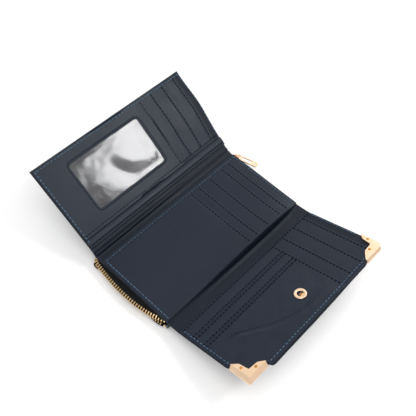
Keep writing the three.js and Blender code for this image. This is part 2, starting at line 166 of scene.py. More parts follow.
def mouth_bulge(u, v):
    """The slip pocket stands up along its free edge, most of all past the middle."""
    return 7.8 * mouth_opening(v) * np.clip((u - 8.0) / 43.0, 0, 1) ** 2.6


def mouth_spread(u, v):
    """Where the slip pocket stands up, its slack edge also leans out a little."""
    rise = mouth_bulge(u, v)
    return u + 0.1 * rise, v - 0.35 * rise


LEFT_FOLD = joint_place("left_spine_fold")
LEFT_END = joint_place("left_flap_fold")
RIGHT_FOLD = joint_place("right_spine_fold")
RIGHT_END = joint_place("right_flap_fold")
CENTRE = Side("centre", (0, 0, PLANE), 0.0, 1)
SLACK_CENTRE = Side("centre", (0, 0, PLANE), 0.0, 1, mouth_spread)
RIGHT_FACE = Side("right_flap", RIGHT_END, tilt_of("right_lining"), 1)
LEFT = Side("left_flap", LEFT_END, -tilt_of("left_lining"), -1, left_spread)
RIGHT = Side("right_flap", RIGHT_END, tilt_of("right_lining"), 1, right_spread)


# ------------------------------------------------------------------- materials
def material(name, **inputs):
    """A new material, its node tree, its Principled shader and its object coordinates."""
    made = bpy.data.materials.new(name)
    made.use_nodes = True
    shader = made.node_tree.nodes["Principled BSDF"]
    for key, value in inputs.items():
        shader.inputs[key.replace("_", " ")].default_value = value
    place = node(made.node_tree, "TexCoord").outputs["Object"]
    return made, made.node_tree, shader, place


def node(tree, kind, links=(), **settings):
    """Adds a shader node, sets its properties or inputs, and links sockets into it."""
    made = tree.nodes.new("ShaderNode" + kind)
    for key, value in settings.items():
        if hasattr(made, key):
            setattr(made, key, value)
        else:
            made.inputs[key.replace("_", " ")].default_value = value
    for socket, source in links:
        tree.links.new(source, made.inputs[socket])
    return made


def ramp(tree, source, stops):
    """A colour ramp from (position, colour) stops."""
    made = node(tree, "ValToRGB", [("Fac", source)])
    elements = made.color_ramp.elements
    while len(elements) < len(stops):
        elements.new(0.5)
    for element, (position, colour) in zip(elements, stops):
        element.position = position
        element.color = (*colour, 1.0) if len(colour) == 3 else colour
    return made.outputs["Color"]


def grey(value):
    return (value, value, value)


def link(tree, source, shader, name):
    tree.links.new(source, shader.inputs[name])


def pattern(tree, kind, place, **settings):
    """A noise or wave texture."""
    return node(tree, "Tex" + kind, [("Vector", place)], **settings).outputs["Fac"]


def combine(tree, first, second, operation="MULTIPLY"):
    made = node(tree, "Math", [(0, first), (1, second)], operation=operation)
    return made.outputs["Value"]


def bump_from(tree, shader, height, strength, distance):
    made = node(tree, "Bump", [("Height", height)], Strength=strength, Distance=distance)
    link(tree, made.outputs["Normal"], shader, "Normal")


def leather(name, dark, light, rough=(0.38, 0.55), grain=900.0, depth=0.00006, shine=0.26):
    """Fine-grained leather: creased cells, pores, soft patches of tone and of gloss."""
    made, tree, shader, place = material(name, Specular_IOR_Level=shine)
    cells = node(tree, "TexVoronoi", [("Vector", place)], feature="DISTANCE_TO_EDGE",
                 Scale=grain)
    pores = pattern(tree, "Noise", place, Scale=grain * 2.4, Detail=3.0)
    patches = pattern(tree, "Noise", place, Scale=38.0, Detail=5.0, Roughness=0.6)
    blotches = pattern(tree, "Noise", place, Scale=9.0, Detail=2.0)
    creases = ramp(tree, cells.outputs["Distance"], [(0.0, grey(0.0)), (0.12, grey(1.0))])
    tone = node(tree, "Mix", [("Factor", patches)], data_type="RGBA")
    tone.inputs["A"].default_value = (*dark, 1.0)
    tone.inputs["B"].default_value = (*light, 1.0)
    deep = node(tree, "Mix", [("Factor", creases)], data_type="RGBA")
    tree.links.new(tone.outputs["Result"], deep.inputs["B"])
    deep.inputs["A"].default_value = (*[0.72 * c for c in dark], 1.0)
    link(tree, deep.outputs["Result"], shader, "Base Color")
    gloss = ramp(tree, blotches, [(0.3, grey(rough[0])), (0.7, grey(rough[1]))])
    link(tree, gloss, shader, "Roughness")
    height = combine(tree, creases, pores, "ADD")
    bump_from(tree, shader, height, 0.7, depth)
    return made


def cloth(name, dark, light):
    """A plain weave: two sets of threads that cross."""
    made, tree, shader, place = material(name, Roughness=0.85, Specular_IOR_Level=0.2)
    warp = pattern(tree, "Wave", place, bands_direction="X", Scale=250.0)
    weft = pattern(tree, "Wave", place, bands_direction="Y", Scale=250.0)
    weave = combine(tree, warp, weft)
    fuzz = pattern(tree, "Noise", place, Scale=400.0, Detail=4.0)
    both = combine(tree, weave, fuzz)
    colour = ramp(tree, both, [(0.0, dark), (0.5, light)])
    link(tree, colour, shader, "Base Color")
    bump_from(tree, shader, both, 0.6, 0.0001)
    return made


def thread(name, dark, light, shine):
    """Twisted polyester sewing thread."""
    made, tree, shader, place = material(name, Roughness=0.7, Specular_IOR_Level=shine)
    twist = pattern(tree, "Wave", place, bands_direction="DIAGONAL", Scale=420.0, Distortion=1.5)
    fuzz = pattern(tree, "Noise", place, Scale=300.0, Detail=2.0)
    both = combine(tree, twist, fuzz)
    colour = ramp(tree, both, [(0.05, dark), (0.55, light)])
    link(tree, colour, shader, "Base Color")
    bump_from(tree, shader, twist, 0.5, 0.00008)
    return made


def plated(name, dull, bright):
    """Pale gold plating with faint scratches, soft stains and uneven polish."""
    made, tree, shader, place = material(name, Metallic=1.0)
    stains = pattern(tree, "Noise", place, Scale=60.0, Detail=3.0, Roughness=0.5)
    stretch = node(tree, "Mapping", [("Vector", place)], Scale=(180.0, 1900.0, 900.0))
    scratches = pattern(tree, "Noise", stretch.outputs["Vector"], Scale=1.0, Detail=3.0)
    colour = ramp(tree, stains, [(0.3, dull), (0.65, bright)])
    link(tree, colour, shader, "Base Color")
    gloss = ramp(tree, scratches, [(0.35, grey(0.3)), (0.7, grey(0.42))])
    link(tree, gloss, shader, "Roughness")
    bump_from(tree, shader, scratches, 0.08, 0.00002)
    return made


def clear_film():
    """Soft clear plastic, a little hazy, with fine ripples."""
    made, tree, shader, place = material("clear_film", Transmission_Weight=0.9, IOR=1.5)
    haze = pattern(tree, "Noise", place, Scale=60.0, Detail=4.0)
    gloss = ramp(tree, haze, [(0.3, grey(0.09)), (0.7, grey(0.14))])
    link(tree, gloss, shader, "Roughness")
    tint = ramp(tree, haze, [(0.3, (0.4, 0.4, 0.42)), (0.7, (0.6, 0.6, 0.62))])
    link(tree, tint, shader, "Base Color")
    ripples = pattern(tree, "Noise", place, Scale=190.0, Detail=2.0)
    bump_from(tree, shader, ripples, 0.3, 0.0002)
    return made


NAVY = leather("navy_leather", (0.005, 0.009, 0.019), (0.009, 0.015, 0.028))
POCKET = leather("pocket_leather", (0.006, 0.011, 0.023), (0.011, 0.018, 0.034),
                 rough=(0.28, 0.42), grain=1100.0, depth=0.00004, shine=0.28)
# The lining leather: its own navy tone, painted darker than the outer leather as painted shade
# for the fold valleys and the gap under the pocket's mouth.
LINING_WITH_PAINTED_SHADE = leather("lining_leather", (0.003, 0.006, 0.014), (0.006, 0.01, 0.021),
                 rough=(0.3, 0.5), grain=1300.0, depth=0.00004, shine=0.24)
DARK_THREAD = thread("dark_thread", (0.002, 0.004, 0.012), (0.006, 0.01, 0.026), 0.03)
# Rim stitch thread: the same navy thread painted a lighter blue, a painted glint for the light
# the rim stitches catch.
THREAD_WITH_PAINTED_GLINT = thread("navy_thread_painted_glint", (0.03, 0.06, 0.1), (0.12, 0.22, 0.33), 0.2)
TAPE = cloth("zip_tape", grey(0.002), grey(0.011))
POUCH_CLOTH = cloth("pouch_cloth", (0.003, 0.003, 0.004), (0.014, 0.014, 0.018))
GOLD = plated("pale_gold", (0.97, 0.68, 0.45), (1.0, 0.74, 0.52))
TOOTH_GOLD = plated("tooth_gold", (0.74, 0.48, 0.22), (0.9, 0.64, 0.34))
WORN_GOLD = plated("worn_gold", (0.55, 0.24, 0.04), (0.72, 0.38, 0.09))
FILM = clear_film()


def coat(node_name, surface):
    """Gives a CAD node that keeps its shape a material, and returns it."""
    piece = frame["nodes"][node_name]
    piece.data.materials.clear()
    piece.data.materials.append(surface)
    return piece


# --------------------------------------------------------------------- meshes
def add(name, data):
    made = bpy.data.objects.new(name, data)
    bpy.context.scene.collection.objects.link(made)
    return made


def make(name, points, faces, body, surface, node_name=None, rounded=True):
    """A mesh from points in millimetres that rides on a body and stands for a CAD node."""
    mesh = bpy.data.meshes.new(name)
    mesh.from_pydata((np.asarray(points) * MM).tolist(), [], faces)
    mesh.validate()
    mesh.materials.append(surface)
    if rounded:
        mesh.shade_smooth()
    else:
        mesh.shade_flat()
    made = add(name, mesh)
    if body:
        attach(made, body)
    if node_name:
        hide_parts(node_name)
    return made


def closed(columns, rows):
    """Faces of a closed skin over top and bottom grids of points, top first."""
    grid = np.arange(2 * columns * rows).reshape(2, columns, rows)
    top, bottom = grid
    quads = lambda g: np.stack([g[:-1, :-1], g[1:, :-1], g[1:, 1:], g[:-1, 1:]], -1)
    faces = quads(top).reshape(-1, 4).tolist()
    faces += quads(bottom)[..., ::-1].reshape(-1, 4).tolist()
    around = lambda g: np.concatenate([g[:, 0], g[-1, 1:], g[-2::-1, -1], g[0, -2:0:-1]])
    return faces, around(top), around(bottom)


def tube(rings, count, loop=False, flip=False):
    """Quads from each ring of count points to the next and, in a loop, back to the first."""
    faces = []
    for i in range(rings if loop else rings - 1):
        j = (i + 1) % rings
        for k in range(count):
            n = (k + 1) % count
            quad = [i * count + k, j * count + k, j * count + n, i * count + n]
            faces.append([quad[0], *quad[:0:-1]] if flip else quad)
    return faces


def ends(rings, count, flip=False):
    """The two faces that close a tube."""
    first, last = list(range(count)), [(rings - 1) * count + k for k in range(count)]
    return [first, last[::-1]] if flip else [first[::-1], last]


def facing(side, faces):
    """Turns faces over on a section that runs out to the left."""
    return [f[::-1] for f in faces] if side.outward < 0 else faces


def spaced(start, end, step, edge, extra=()):
    """Grid lines from start to end: crowded at both edges and at the extra places."""
    near = [0.0, 0.12, 0.4, 1.0]
    lines = [start + edge * n for n in near] + [end - edge * n for n in near]
    count = max(2, round((end - start - 2 * edge) / step))
    lines += list(np.linspace(start + edge, end - edge, count + 1))
    for place in extra:
        lines += [place - 0.9, place - 0.35, place, place + 0.35, place + 0.9]
    lines = sorted(x for x in lines if start <= x <= end)
    kept = [lines[0]]
    for x in lines[1:]:
        if x - kept[-1] > 0.09:
            kept.append(x)
    kept[-1] = end
    return np.array(kept)


def round_corners(u, v, box, radius):
    """Pulls the square corners of a grid in to rounded ones."""
    u0, u1, v0, v1 = box
    mid_u, mid_v = (u0 + u1) / 2, (v0 + v1) / 2
    a = np.clip((np.abs(u - mid_u) - (u1 - u0) / 2 + radius) / radius, 0, 1)
    b = np.clip((np.abs(v - mid_v) - (v1 - v0) / 2 + radius) / radius, 0, 1)
    new_a, new_b = a * np.sqrt(1 - b * b / 2), b * np.sqrt(1 - a * a / 2)
    return (u - np.sign(u - mid_u) * (a - new_a) * radius,
            v - np.sign(v - mid_v) * (b - new_b) * radius)


def flat(u, _):
    return 0.0 * u


def soft(size, height, seed):
    """A relief of slow, low waves."""
    def relief(u, v):
        places = np.stack([u / size, v / size, 0 * u + seed], -1).reshape(-1, 3)
        waves = [noise.noise(Vector(p)) for p in places]
        return height * np.array(waves).reshape(u.shape)
    return relief


def groove(lines, depth, width):
    """A relief of pressed lines. Each is (axis, place, start, end)."""
    def relief(u, v):
        total = 0.0 * u
        for axis, place, start, end in lines:
            across, along = (u, v) if axis == "u" else (v, u)
            inside = np.clip(np.minimum(along - start, end - along) / 2 + 0.5, 0, 1)
            total = total - depth * np.exp(-((across - place) / width) ** 2) * inside
        return total
    return relief


def together(*reliefs):
    return lambda u, v: sum(r(u, v) for r in reliefs)


def panel(name, side, box, low, high, surface, node_name=None, relief=flat, step=3.0,
          corner=1.2, grooves=(), base=None, cut=(False, False), edge=0.8):
    """
    A leather sheet over box (u0, u1, v0, v1) between two heights, with rounded edges.
    The relief moves both faces, and base gives another relief for the lower one.
    An end that is cut meets the next sheet, so it is left square.
    """
    u0, u1, v0, v1 = box
    us = spaced(u0, u1, step, edge, [g[1] for g in grooves if g[0] == "u"])
    vs = spaced(v0, v1, step, edge, [g[1] for g in grooves if g[0] == "v"])
    u, v = np.meshgrid(us, vs, indexing="ij")
    inset = np.minimum(v - v0, v1 - v)
    inset = inset if cut[0] else np.minimum(inset, u - u0)
    inset = inset if cut[1] else np.minimum(inset, u1 - u)
    roll = 1 - np.sqrt(np.clip(1 - np.clip(1 - inset / edge, 0, 1) ** 2, 0, 1))
    rounding = 0.9 * (high - low) * roll
    if not any(cut):
        u, v = round_corners(u, v, box, corner)
    top = high - rounding * 0.6 + relief(u, v) + groove(grooves, 0.3, 0.8)(u, v)
    bottom = low + rounding * 0.4 + (base or relief)(u, v)
    points = np.concatenate([side.at(u, v, top).reshape(-1, 3),
                             side.at(u, v, bottom).reshape(-1, 3)])
    faces, rim_top, rim_bottom = closed(len(us), len(vs))
    for i, j in zip(range(len(rim_top)), [*range(1, len(rim_top)), 0]):
        faces.append([int(k) for k in (rim_top[i], rim_bottom[i], rim_bottom[j], rim_top[j])])
    return make(name, points, facing(side, faces), side.body, surface, node_name)


# -------------------------------------------------------------------- stitches
def stitch_shape(length, width):
    """One stitch along X: a grain that dives into the leather at both ends."""
    rings = [(-0.5, 0.25, -0.9), (-0.42, 0.75, 0.0), (-0.15, 1.0, 0.55), (0.15, 1.0, 0.55),
             (0.42, 0.75, 0.0), (0.5, 0.25, -0.9)]
    points = []
    for along, size, lift in rings:
        for k in range(6):
            turn = math.pi * k / 3
            points.append((along * length, 0.5 * width * size * math.cos(turn),
                           0.42 * width * (size * math.sin(turn) + lift)))
    return np.array(points), tube(len(rings), 6) + ends(len(rings), 6, flip=True)


def over(relief, height):
    """How high a stitch at one place stands over a relief."""
    return lambda u, v: height + relief(np.array([u]), np.array([v]))[0]


class Seams:
    """Gathers the stitches of one thread on one section, and makes them one piece."""

    def __init__(self, side):
        self.side = side
        self.points, self.faces, self.count = [], [], 0
        self.dice = random.Random(len(side.body))

    def row(self, line, height, pitch=PITCH, share=0.58, width=THREAD):
        """A row of stitches along a line of (u, v) points, each at the height given there."""
        line = np.array(line, float)
        lengths = np.linalg.norm(np.diff(line, axis=0), axis=1)
        total = lengths.sum()
        count = max(1, round(total / pitch))
        travelled = np.concatenate([[0], np.cumsum(lengths)])
        shape, faces = stitch_shape(pitch * share, width)
        for i in range(count):
            middle = (i + 0.5) * total / count
            back, front = (np.array([np.interp(middle + s, travelled, line[:, k])
                                     for k in (0, 1)]) for s in (-1.0, 1.0))
            centre, along = (back + front) / 2, front - back
            turn = math.atan2(along[1], along[0]) + self.dice.uniform(-0.05, 0.05)
            u = centre[0] + shape[:, 0] * math.cos(turn) - shape[:, 1] * math.sin(turn)
            v = centre[1] + shape[:, 0] * math.sin(turn) + shape[:, 1] * math.cos(turn)
            h = height(centre[0], centre[1]) + shape[:, 2]
            self.points.append(self.side.at(u, v, h))
            self.faces += facing(self.side, [[k + self.count for k in f] for f in faces])
            self.count += len(shape)

    def finish(self, name, surface):
        return make(name, np.concatenate(self.points), self.faces, self.side.body, surface)


# ------------------------------------------------------------- centre section
SLIP = (-42.0, 51.2, -HALF, HALF)
SLIP_LOW, SLIP_HIGH = 1.2, 1.7
CENTRE_FRONT = (2.65, 3.15)
LEAF_STEP = 0.35                # how far its card leaves lie under the front pocket
FLAP_LEAF_STEP = 0.3            # the same on the flaps


def card_slots(label, side, across, edges, front, step, relief, seams, reach, sink):
    """
    A section's card slot leaves. Each is tipped up a little towards its free edge, with a
    row of stitches beside it that runs over the reach, sunk a little in the leather.
    """
    low, high = front[0] - step, front[1] - step
    leaves = []
    for i, end in enumerate(edges[1:]):
        start, line = edges[i] - 7.0, end - SEAM_INSET
        tipped = lambda u, v: relief(u, v) - 0.9 * np.clip((end - v) / (end - start), 0, 1)
        leaves.append(panel(f"{label}_card_leaf_{i + 1}", side, (*across, start, end), low, high,
                            POCKET, f"{label}_card_slot_{i + 1}", relief=tipped, corner=0.4,
                            grooves=[("v", line, across[0] + 1, across[1] - 1)]))
        seams.row([(reach[0], line), (reach[1], line)], over(relief, high - sink))
    return leaves


def build_centre():
    sag = soft(34.0, 0.16, 3.0)
    relief = together(sag, mouth_bulge)
    pieces = [panel("centre_slip_pocket_skin", SLACK_CENTRE, SLIP, SLIP_LOW, SLIP_HIGH,
                    POCKET, "centre_slip_pocket", relief=relief,
                    grooves=[("v", -96.6, -40, 50), ("u", -38.5, -97, 97)])]
    across = (-37.2, 50.7)
    fold = together(relief, soft(20.0, 0.12, 5.0))
    seams = Seams(SLACK_CENTRE)
    reach = (across[0] + 1, across[1] - 1.5)
    pieces += card_slots("centre", SLACK_CENTRE, across, CENTRE_SLOTS, CENTRE_FRONT, LEAF_STEP,
                         fold, seams, reach, 0.1)
    front_edge = CENTRE_SLOTS[0]
    line = front_edge - SEAM_INSET
    pieces.append(panel("centre_front_skin", SLACK_CENTRE,
                        (*across, 0.6 - HALF, front_edge), *CENTRE_FRONT,
                        POCKET, "centre_front_pocket", relief=fold,
                        grooves=[("v", line, -36, 50)], corner=1.0))
    seams.row([(reach[0], line), (reach[1], line)], over(fold, CENTRE_FRONT[1] - 0.1))
    pieces.append(seams.finish("centre_slot_stitches", DARK_THREAD))
    return relief, fold, pieces


def centre_rim_stitches(relief, fold):
    """Stitches round the slip pocket's three closed sides."""
    glint_seams = Seams(SLACK_CENTRE)
    slip = over(relief, SLIP_HIGH - 0.05)
    glint_seams.row([(-38.6, 98), (-38.6, -97)], slip, share=0.6, width=0.95)
    glint_seams.row([(-37.5, -96.8), (50.2, -96.8)], over(fold, CENTRE_FRONT[1] - 0.05), share=0.86)
    glint_seams.row([(-40, 97.2), (50.2, 97.2)], slip, share=0.6, width=0.95)
    return glint_seams.finish("centre_rim_stitches", THREAD_WITH_PAINTED_GLINT)


centre_relief, centre_fold, slack_pieces = build_centre()
slack_pieces.append(centre_rim_stitches(centre_relief, centre_fold))
for piece in slack_pieces:
    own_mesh(piece)


# ------------------------------------------------------------------- left flap
LEFT_FRONT = (2.0, 2.5)


def left_slack(u, v):
    """Slow waves that every layer of the left flap shares."""
    slots = smooth(v, 30, 50)
    slow = together(soft(45.0, 0.5, 11.0), soft(17.0, 0.16, 12.0))(u, v)
    dents = soft(11.0, 0.9, 14.0)(u / 2.2, v)
    return (slow + slots * dents) * smooth(u, 8, 22)


left_seams = Seams(LEFT)
card_slots("left", LEFT, (11.6, 96.7), LEFT_SLOTS, LEFT_FRONT, FLAP_LEAF_STEP, left_slack,
           left_seams, (LEFT_SEAM, 93.5), 0.1)


def rounded_outline(box, radius):
    """Points round a rounded rectangle, anticlockwise from its right side's middle."""
    u0, u1, v0, v1 = box
    corners = [(u1 - radius, v1 - radius, 0), (u0 + radius, v1 - radius, 90),
               (u0 + radius, v0 + radius, 180), (u1 - radius, v0 + radius, 270)]
    points = []
    for i, (cu, cv, first) in enumerate(corners):
        for k in range(11):
            turn = math.radians(first + 90 * k / 10)
            points.append((cu + radius * math.cos(turn), cv + radius * math.sin(turn)))
        nu, nv, next_first = corners[(i + 1) % 4]
        turn = math.radians(next_first)
        end = np.array([nu + radius * math.cos(turn), nv + radius * math.sin(turn)])
        start = np.array(points[-1])
        points += [tuple(start + (end - start) * k / 24) for k in range(1, 24)]
    return np.array(points)


def framed_panel(name, side, box, hole, low, high, surface, node_name, relief, dent):
    """A leather sheet with a rounded hole, as rings from the hole's edge to the outer one."""
    inner = rounded_outline(hole, 3.2)
    outer = rounded_outline(box, 1.2)
    reach = np.linalg.norm(outer - inner, axis=1)
    thick = high - low
    stages = [(0.0, 0.5), (0.35, 0.12), (0.9, 0.0), (1.7, 0.0), (2.3, 0.0), (2.8, 0.0),
              (3.3, 0.0), (3.9, 0.0), (5.0, 0.0)]
    rings = []
    for distance, drop in stages:
        rings.append((inner + (outer - inner) * (distance / reach)[:, None], drop))
    start = rings[-1][0]
    for share in (0.2, 0.4, 0.6, 0.8, 0.93):
        rings.append((start + (outer - start) * share, 0.0))
    for distance, drop in [(0.9, 0.0), (0.3, 0.1), (0.0, 0.5)]:
        rings.append((outer + (inner - outer) * (distance / reach)[:, None], drop))
    top, bottom = [], []
    for line, drop in rings:
        u, v = line[:, 0], line[:, 1]
        top.append(side.at(u, v, high - drop * thick + relief(u, v) + dent(u, v)))
        bottom.append(side.at(u, v, low + drop * thick * 0.8 + relief(u, v)))
    loop = top + bottom[::-1]
    faces = facing(side, tube(len(loop), len(inner), loop=True))
    make(name, np.concatenate(loop), faces, side.body, surface, node_name)


def ring_groove(box, radius, gap, depth):
    """A relief of a pressed line at a distance outside a rounded rectangle."""
    u0, u1, v0, v1 = box
    mid = ((u0 + u1) / 2, (v0 + v1) / 2)
    half = ((u1 - u0) / 2 - radius, (v1 - v0) / 2 - radius)

    def relief(u, v):
        a = np.maximum(np.abs(u - mid[0]) - half[0], 0)
        b = np.maximum(np.abs(v - mid[1]) - half[1], 0)
        return -depth * np.exp(-((np.hypot(a, b) - radius - gap) / 0.6) ** 2)
    return relief


def film_relief(u, v):
    """Broad wrinkles of the window's film: slack folds that run from corner to corner."""
    a = (u - 54.0) / 27.0
    b = (v + 20.0) / 46.0
    fade = np.clip((1.02 - np.abs(a)) * 6, 0, 1) * np.clip((1.02 - np.abs(b)) * 6, 0, 1)
    slack = smooth(b - 0.35 * a, -0.45, 0.2)
    swirl = 0.27 * np.sin(3.4 * a + 1.6 * b + 1.4 * np.sin(2.1 * b - a))
    fold = 0.11 * np.sin(7.0 * (a * 0.9 + b * 0.35) + 3.0 * np.sin(1.9 * b - 0.6 * a))
    fine = soft(11.0, 0.06, 21.0)(u, v)
    return fade * ((0.25 + 0.75 * slack) * (swirl + fold) + fine)


def finish_left():
    lines = groove([("u", LEFT_SEAM, -97, 40)], 0.22, 0.7)
    sunk = ring_groove(WINDOW, 3.2, 2.7, 0.22)
    framed_panel("left_window_skin", LEFT, (11.4, 96.6, 0.9 - HALF, LEFT_SLOTS[0]), WINDOW,
                 *LEFT_FRONT, POCKET, "left_window_panel", left_slack,
                 dent=lambda u, v: sunk(u, v) + lines(u, v))
    panel("left_film_sheet", LEFT, (WINDOW[0] - 3, WINDOW[1] + 3, WINDOW[2] - 3, WINDOW[3] + 3),
          1.72, 1.86, FILM, "left_window_film", relief=film_relief, step=1.3,
          base=film_relief)
    front = over(left_slack, LEFT_FRONT[1] - 0.05)
    left_seams.row([(LEFT_SEAM, 97.5), (LEFT_SEAM, -97.5)], front, width=1.25)
    window_seam = LEFT_SLOTS[0] - SEAM_INSET
    left_seams.row([(LEFT_SEAM, window_seam), (93.5, window_seam)], front)
    u0, u1, v0, v1 = WINDOW
    ring = rounded_outline((u0 - 2.7, u1 + 2.7, v0 - 2.7, v1 + 2.7), 5.9)
    left_seams.row(np.vstack([ring, ring[:1]]), front, pitch=3.6)
    left_seams.row([(4.4, 97.5), (4.4, -97.5)], over(band_relief, 2.0), width=1.25)
    left_seams.finish("left_stitches", DARK_THREAD)
    glint_seams = Seams(LEFT)
    glint_seams.row([(LEFT_RIM, 97.4), (LEFT_RIM, -97.2), (3.0, -97.2)], front, share=0.74)
    glint_seams.row([(LEFT_RIM, 97.4), (3.0, 97.4)], front, share=0.74)
    glint_seams.finish("left_rim_stitches", THREAD_WITH_PAINTED_GLINT)


def band_relief(u, v):
    """The fold band swells between its two seams."""
    swell = 1.2 * np.sin(math.pi * np.clip((u - 0.6) / 10.8, 0, 1)) ** 0.7
    return swell + soft(18.0, 0.1, 31.0)(u, v)


panel("left_fold_band_skin", LEFT, (1.1, 11.1, 0.6 - HALF, HALF - 0.6), 1.2, 2.0, POCKET,
      "left_fold_band", relief=band_relief, grooves=[("u", 3.4, -97, 97)], corner=0.8)
finish_left()


# ------------------------------------------------------------------ right flap
RIGHT_FRONT = (1.45, 1.95)


def right_slack(u, v):
    """Slow waves that every layer of the right flap shares."""
    return together(soft(40.0, 0.35, 41.0), soft(15.0, 0.1, 42.0))(u, v) * smooth(u, 4, 16)


def right_wave(u, v):
    """Slack in the right flap's soft panel, with one long crease near its outer corner."""
    middle = np.interp(v, [-82, -66, -41, -15, 18], [40, 46, 64, 75, 79])
    away = (u - middle) / 1.15
    strength = smooth(v, -86, -64) * smooth(-v, -28, 0)
    crease = 1.3 * np.exp(-((away - 1.6) / 2.4) ** 2) - 1.1 * np.exp(-((away + 1.7) / 1.3) ** 2)
    front = smooth(-v, -38, -30)
    slack = 0.5 * soft(16.0, 1.0, 44.0)((u - v) / 1.5, u + v) * smooth(u, 38, 60)
    return right_slack(u, v) + front * (slack + strength * crease)


def build_right():
    seams = Seams(RIGHT)
    at = lambda high: over(right_wave, high - 0.05)
    card_slots("right", RIGHT, (1.0, 89.6), RIGHT_SLOTS, RIGHT_FRONT, FLAP_LEAF_STEP,
               right_wave, seams, (3.0, 86.0), 0.05)
    far = RIGHT_SLOTS[0]
    edges = [1.0, *STRIP_EDGES, 89.6]
    names = ["right_strip_pocket_inner", "right_strip_pocket_outer", "right_snap_panel"]
    for name, u0, u1 in zip(names, edges, edges[1:]):
        inner_line = u0 + (1.9 if name == names[0] else 2.0)
        lines = [("u", inner_line, -97, far), ("v", far - SEAM_INSET, u0, u1)]
        if u1 < 80:
            lines.append(("u", u1 - SEAM_INSET, -97, far))
        panel(name + "_skin", RIGHT, (u0 + 0.08, u1 - 0.08, 0.6 - HALF, far), *RIGHT_FRONT,
              POCKET, name, relief=right_wave, grooves=lines, corner=0.7,
              step=1.6 if u1 > 80 else 3.0)
        seams.row([(inner_line, far - 2.0), (inner_line, -97)], at(RIGHT_FRONT[1]))
        if u1 < 80:
            seams.row([(u1 - SEAM_INSET, far - 2.0), (u1 - SEAM_INSET, -97)], at(RIGHT_FRONT[1]))
    seams.row([(1.5, far - SEAM_INSET), (86.0, far - SEAM_INSET)], at(RIGHT_FRONT[1]))
    seams.row([(2.9, 97), (2.9, far)], at(RIGHT_FRONT[1] - 0.2))
    seams.finish("right_stitches", DARK_THREAD)
    glint_seams = Seams(RIGHT)
    glint_seams.row([(86.6, 76.0), (86.6, -76.0)], at(RIGHT_FRONT[1]), share=0.66)
    glint_seams.row([(3.0, -96.4), (62.0, -96.4)], at(RIGHT_FRONT[1]), share=0.7)
    glint_seams.row([(3.0, 96.8), (62.0, 96.8)], at(RIGHT_FRONT[1] - 0.2), share=0.7)
    glint_seams.finish("right_rim_stitches", THREAD_WITH_PAINTED_GLINT)


build_right()


# ------------------------------------------------------- outer leather and folds
class Bend:
    """A curved section: u runs along a smoothed line in XZ, and h stands square to it."""

    body = None

    def __init__(self, points, outward):
        line = np.array(points, float)
        for _ in range(3):
            inner = np.stack([0.75 * line[:-1] + 0.25 * line[1:],
                              0.25 * line[:-1] + 0.75 * line[1:]], 1).reshape(-1, 2)
            line = np.vstack([line[:1], inner, line[-1:]])
        self.line = line
        self.u = np.concatenate([[0], np.cumsum(np.linalg.norm(np.diff(line, axis=0), axis=1))])
        along = np.gradient(line, self.u, axis=0)
        along /= np.linalg.norm(along, axis=1)[:, None]
        self.up = np.stack([-along[:, 1], along[:, 0]], 1) * outward
        self.outward = outward
        self.length = self.u[-1]

    def at(self, u, v, h):
        u, v, h = np.broadcast_arrays(*(np.asarray(a, float) for a in (u, v, h)))
        place = [np.interp(u, self.u, self.line[:, k]) for k in (0, 1)]
        up = [np.interp(u, self.u, self.up[:, k]) for k in (0, 1)]
        return np.stack([place[0] + up[0] * h, v, place[1] + up[1] * h], -1)


def fold_sheets(label, side_name, flap, fold, end, outward, lining_bulge, cad):
    """
    The leather and lining over one fold. Each is two pieces that meet in the middle of
    the spine.
    """
    fold, end = fold[[0, 2]], end[[0, 2]]
    middle = (fold + end) / 2
    inner_end = np.array([fold[0] - outward * 5.0, fold[1]])
    outer_end = end + 6.0 * flap.out[[0, 2]]
    halves = {"inner": ([inner_end, fold, middle], "centre", f"{side_name}_spine"),
              "outer": ([middle, end, outer_end], f"{side_name}_spine", f"{side_name}_flap")}
    for half, (points, body_a, body_b) in halves.items():
        bend = Bend(points, outward)
        swell = lining_bulge(half, bend.length)
        leather_sheet = panel(f"{label}_leather_{half}", bend, (0, bend.length, -HALF, HALF),
                              -OUTER, 0.0, NAVY, step=1.6, cut=(True, True))
        # The fold linings carry the darker lining leather, painted shade in the fold valleys.
        lining = panel(f"{label}_lining_{half}", bend, (0, bend.length, 0.4 - HALF, HALF - 0.4),
                       0.12, 0.45, LINING_WITH_PAINTED_SHADE, step=0.9, cut=(True, True),
                       relief=swell)
        for piece in (leather_sheet, lining):
            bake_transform(piece)
        if half == "inner":
            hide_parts(cad[0])
            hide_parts(cad[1])


def held_ends(u, half, length):
    """Fades a fold's bulge to nothing where its lining meets the flat sections."""
    return np.clip(u if half == "inner" else length - u, 0, 2) / 2


def left_bulge(half, length):
    """The left fold's lining: a broad slack ridge that fades towards the far end."""
    ripple = soft(22.0, 0.35, 51.0)

    def relief(u, v):
        x = u if half == "inner" else u + 9.0
        near = 0.3 + 0.7 * smooth(-v, -60, 80)
        ridge = 4.0 * near * np.exp(-(np.abs(x - 7.5) / 2.7) ** 3)
        second = 1.6 * (1.2 - near) * np.exp(-((x - 3.0) / 1.6) ** 2)
        return (ridge + second + ripple(x, v)) * held_ends(u, half, length)
    return relief


def right_bulge(half, length):
    """The right fold's lining is slack: it stands up beside the pocket's mouth."""
    ripple = soft(30.0, 0.3, 61.0)

    def relief(u, v):
        x = u if half == "inner" else u + 12.0
        open_share = mouth_opening(v)
        middle = 6.6 + 1.8 * open_share
        puff = 2.0 * open_share * np.clip(1 - ((x - middle) / 2.6) ** 2, 0, 1) ** 0.7
        ripples = ripple(x, v) * smooth(x, 12, 18)
        return (puff + ripples) * held_ends(u, half, length)
    return relief


